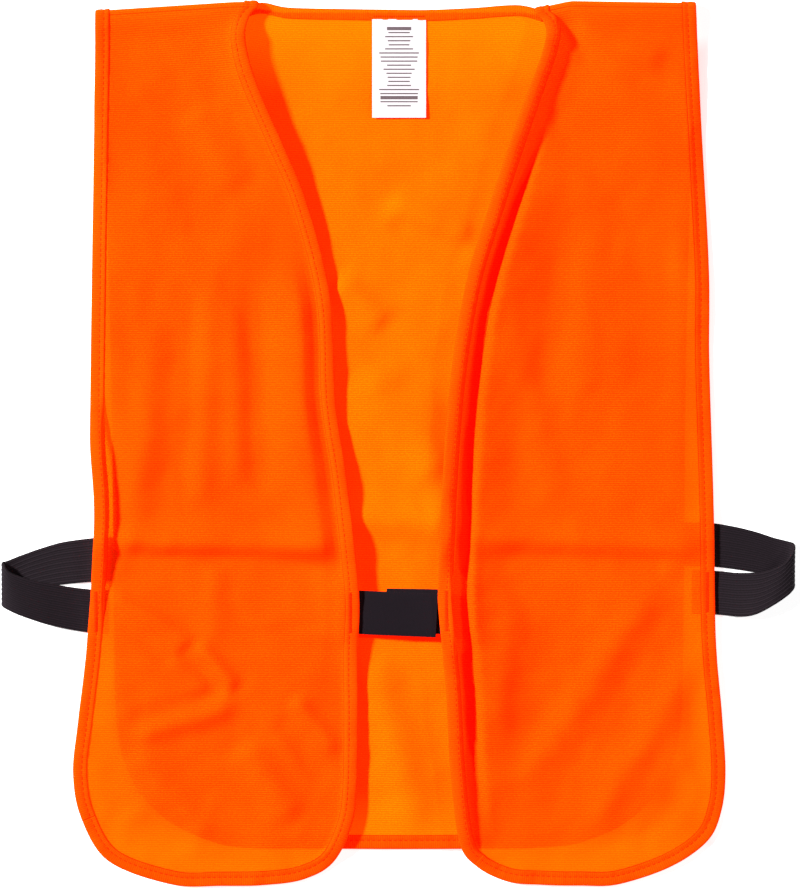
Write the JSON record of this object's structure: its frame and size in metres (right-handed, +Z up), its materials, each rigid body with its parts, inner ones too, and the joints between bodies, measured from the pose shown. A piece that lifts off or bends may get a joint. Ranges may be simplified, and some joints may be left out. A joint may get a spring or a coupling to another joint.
{
  "type": "safety vest",
  "caption": "Sleeveless open-front safety vest lying flat, with bound edges, elastic side loops, a hook-and-loop chest tab and a care label.",
  "frame": {"origin": "middle of the lying vest's outline, on the surface it lies on", "axes": "+Z up out of the vest's front, +Y towards the shoulders, +X towards the wearer's left"},
  "size_m": [0.4546, 0.5109, 0.0079],
  "materials": {
    "cloth": "fluorescent blaze orange polyester tricot, fine knit",
    "binding": "folded self-colour binding tape",
    "elastic": "black ribbed knitted elastic",
    "tape": "black hook-and-loop tape, matt twill back",
    "thread": "orange polyester thread",
    "thread_dark": "orange polyester thread",
    "label": "white satin label, blank"
  },
  "bodies": {
    "back": {"back_panel": "cloth", "back_neck_binding": "binding", "back_right_side_binding": "binding", "back_left_side_binding": "binding", "back_hem_binding": "binding", "right_shoulder_seam": "cloth", "left_shoulder_seam": "cloth", "right_side_elastic": "elastic", "left_side_elastic": "elastic", "right_elastic_back_tack": "thread", "left_elastic_back_tack": "thread", "care_label_stitching": "thread"},
    "right_shoulder": {"right_front_side_panel": "cloth", "right_armhole_binding": "binding", "right_elastic_front_tack": "thread"},
    "left_shoulder": {"left_front_side_panel": "cloth", "left_armhole_binding": "binding", "left_elastic_front_tack": "thread"},
    "right_front": {"right_front_panel": "cloth", "right_front_binding": "binding", "right_hem_binding": "binding", "closure_loop_tack": "thread_dark"},
    "left_front": {"left_front_panel": "cloth", "left_front_binding": "binding", "left_hem_binding": "binding", "closure_hook_tape": "tape", "closure_hook_tack": "thread_dark"},
    "closure_tab": {"closure_loop_tape": "tape"},
    "care_label": {"care_label": "label"}
  },
  "joints": [
    {"name": "right_front_lift", "type": "hinge", "parent": "back", "child": "right_shoulder", "pos_m": [-0.131, 0.2511, 0.0079], "axis": [-1, 0, 0], "range_deg": [0, 30], "deforming": ["right_side_elastic"]},
    {"name": "left_front_lift", "type": "hinge", "parent": "back", "child": "left_shoulder", "pos_m": [0.131, 0.2511, 0.0079], "axis": [-1, 0, 0], "range_deg": [0, 30], "deforming": ["left_side_elastic"]},
    {"name": "right_front_open", "type": "hinge", "parent": "right_shoulder", "child": "right_front", "pos_m": [-0.1365, 0.014, 0.0079], "axis": [-0.1704, -0.9854, 0], "range_deg": [0, 160]},
    {"name": "left_front_open", "type": "hinge", "parent": "left_shoulder", "child": "left_front", "pos_m": [0.138, 0.014, 0.0079], "axis": [-0.1764, 0.9843, 0], "range_deg": [0, 160], "deforming": ["closure_hook_tape"]},
    {"name": "closure_tab_peel", "type": "hinge", "parent": "right_front", "child": "closure_tab", "pos_m": [-0.0215, -0.0973, 0.0079], "axis": [0, -1, 0], "range_deg": [0, 150]},
    {"name": "care_label_flip", "type": "hinge", "parent": "back", "child": "care_label", "pos_m": [0.0012, 0.2432, 0.0021], "axis": [-1, 0, 0], "range_deg": [0, 150]}
  ],
  "couplings": [
    {"joint": "left_front_lift", "follows": "right_front_lift", "ratio": 1}
  ]
}
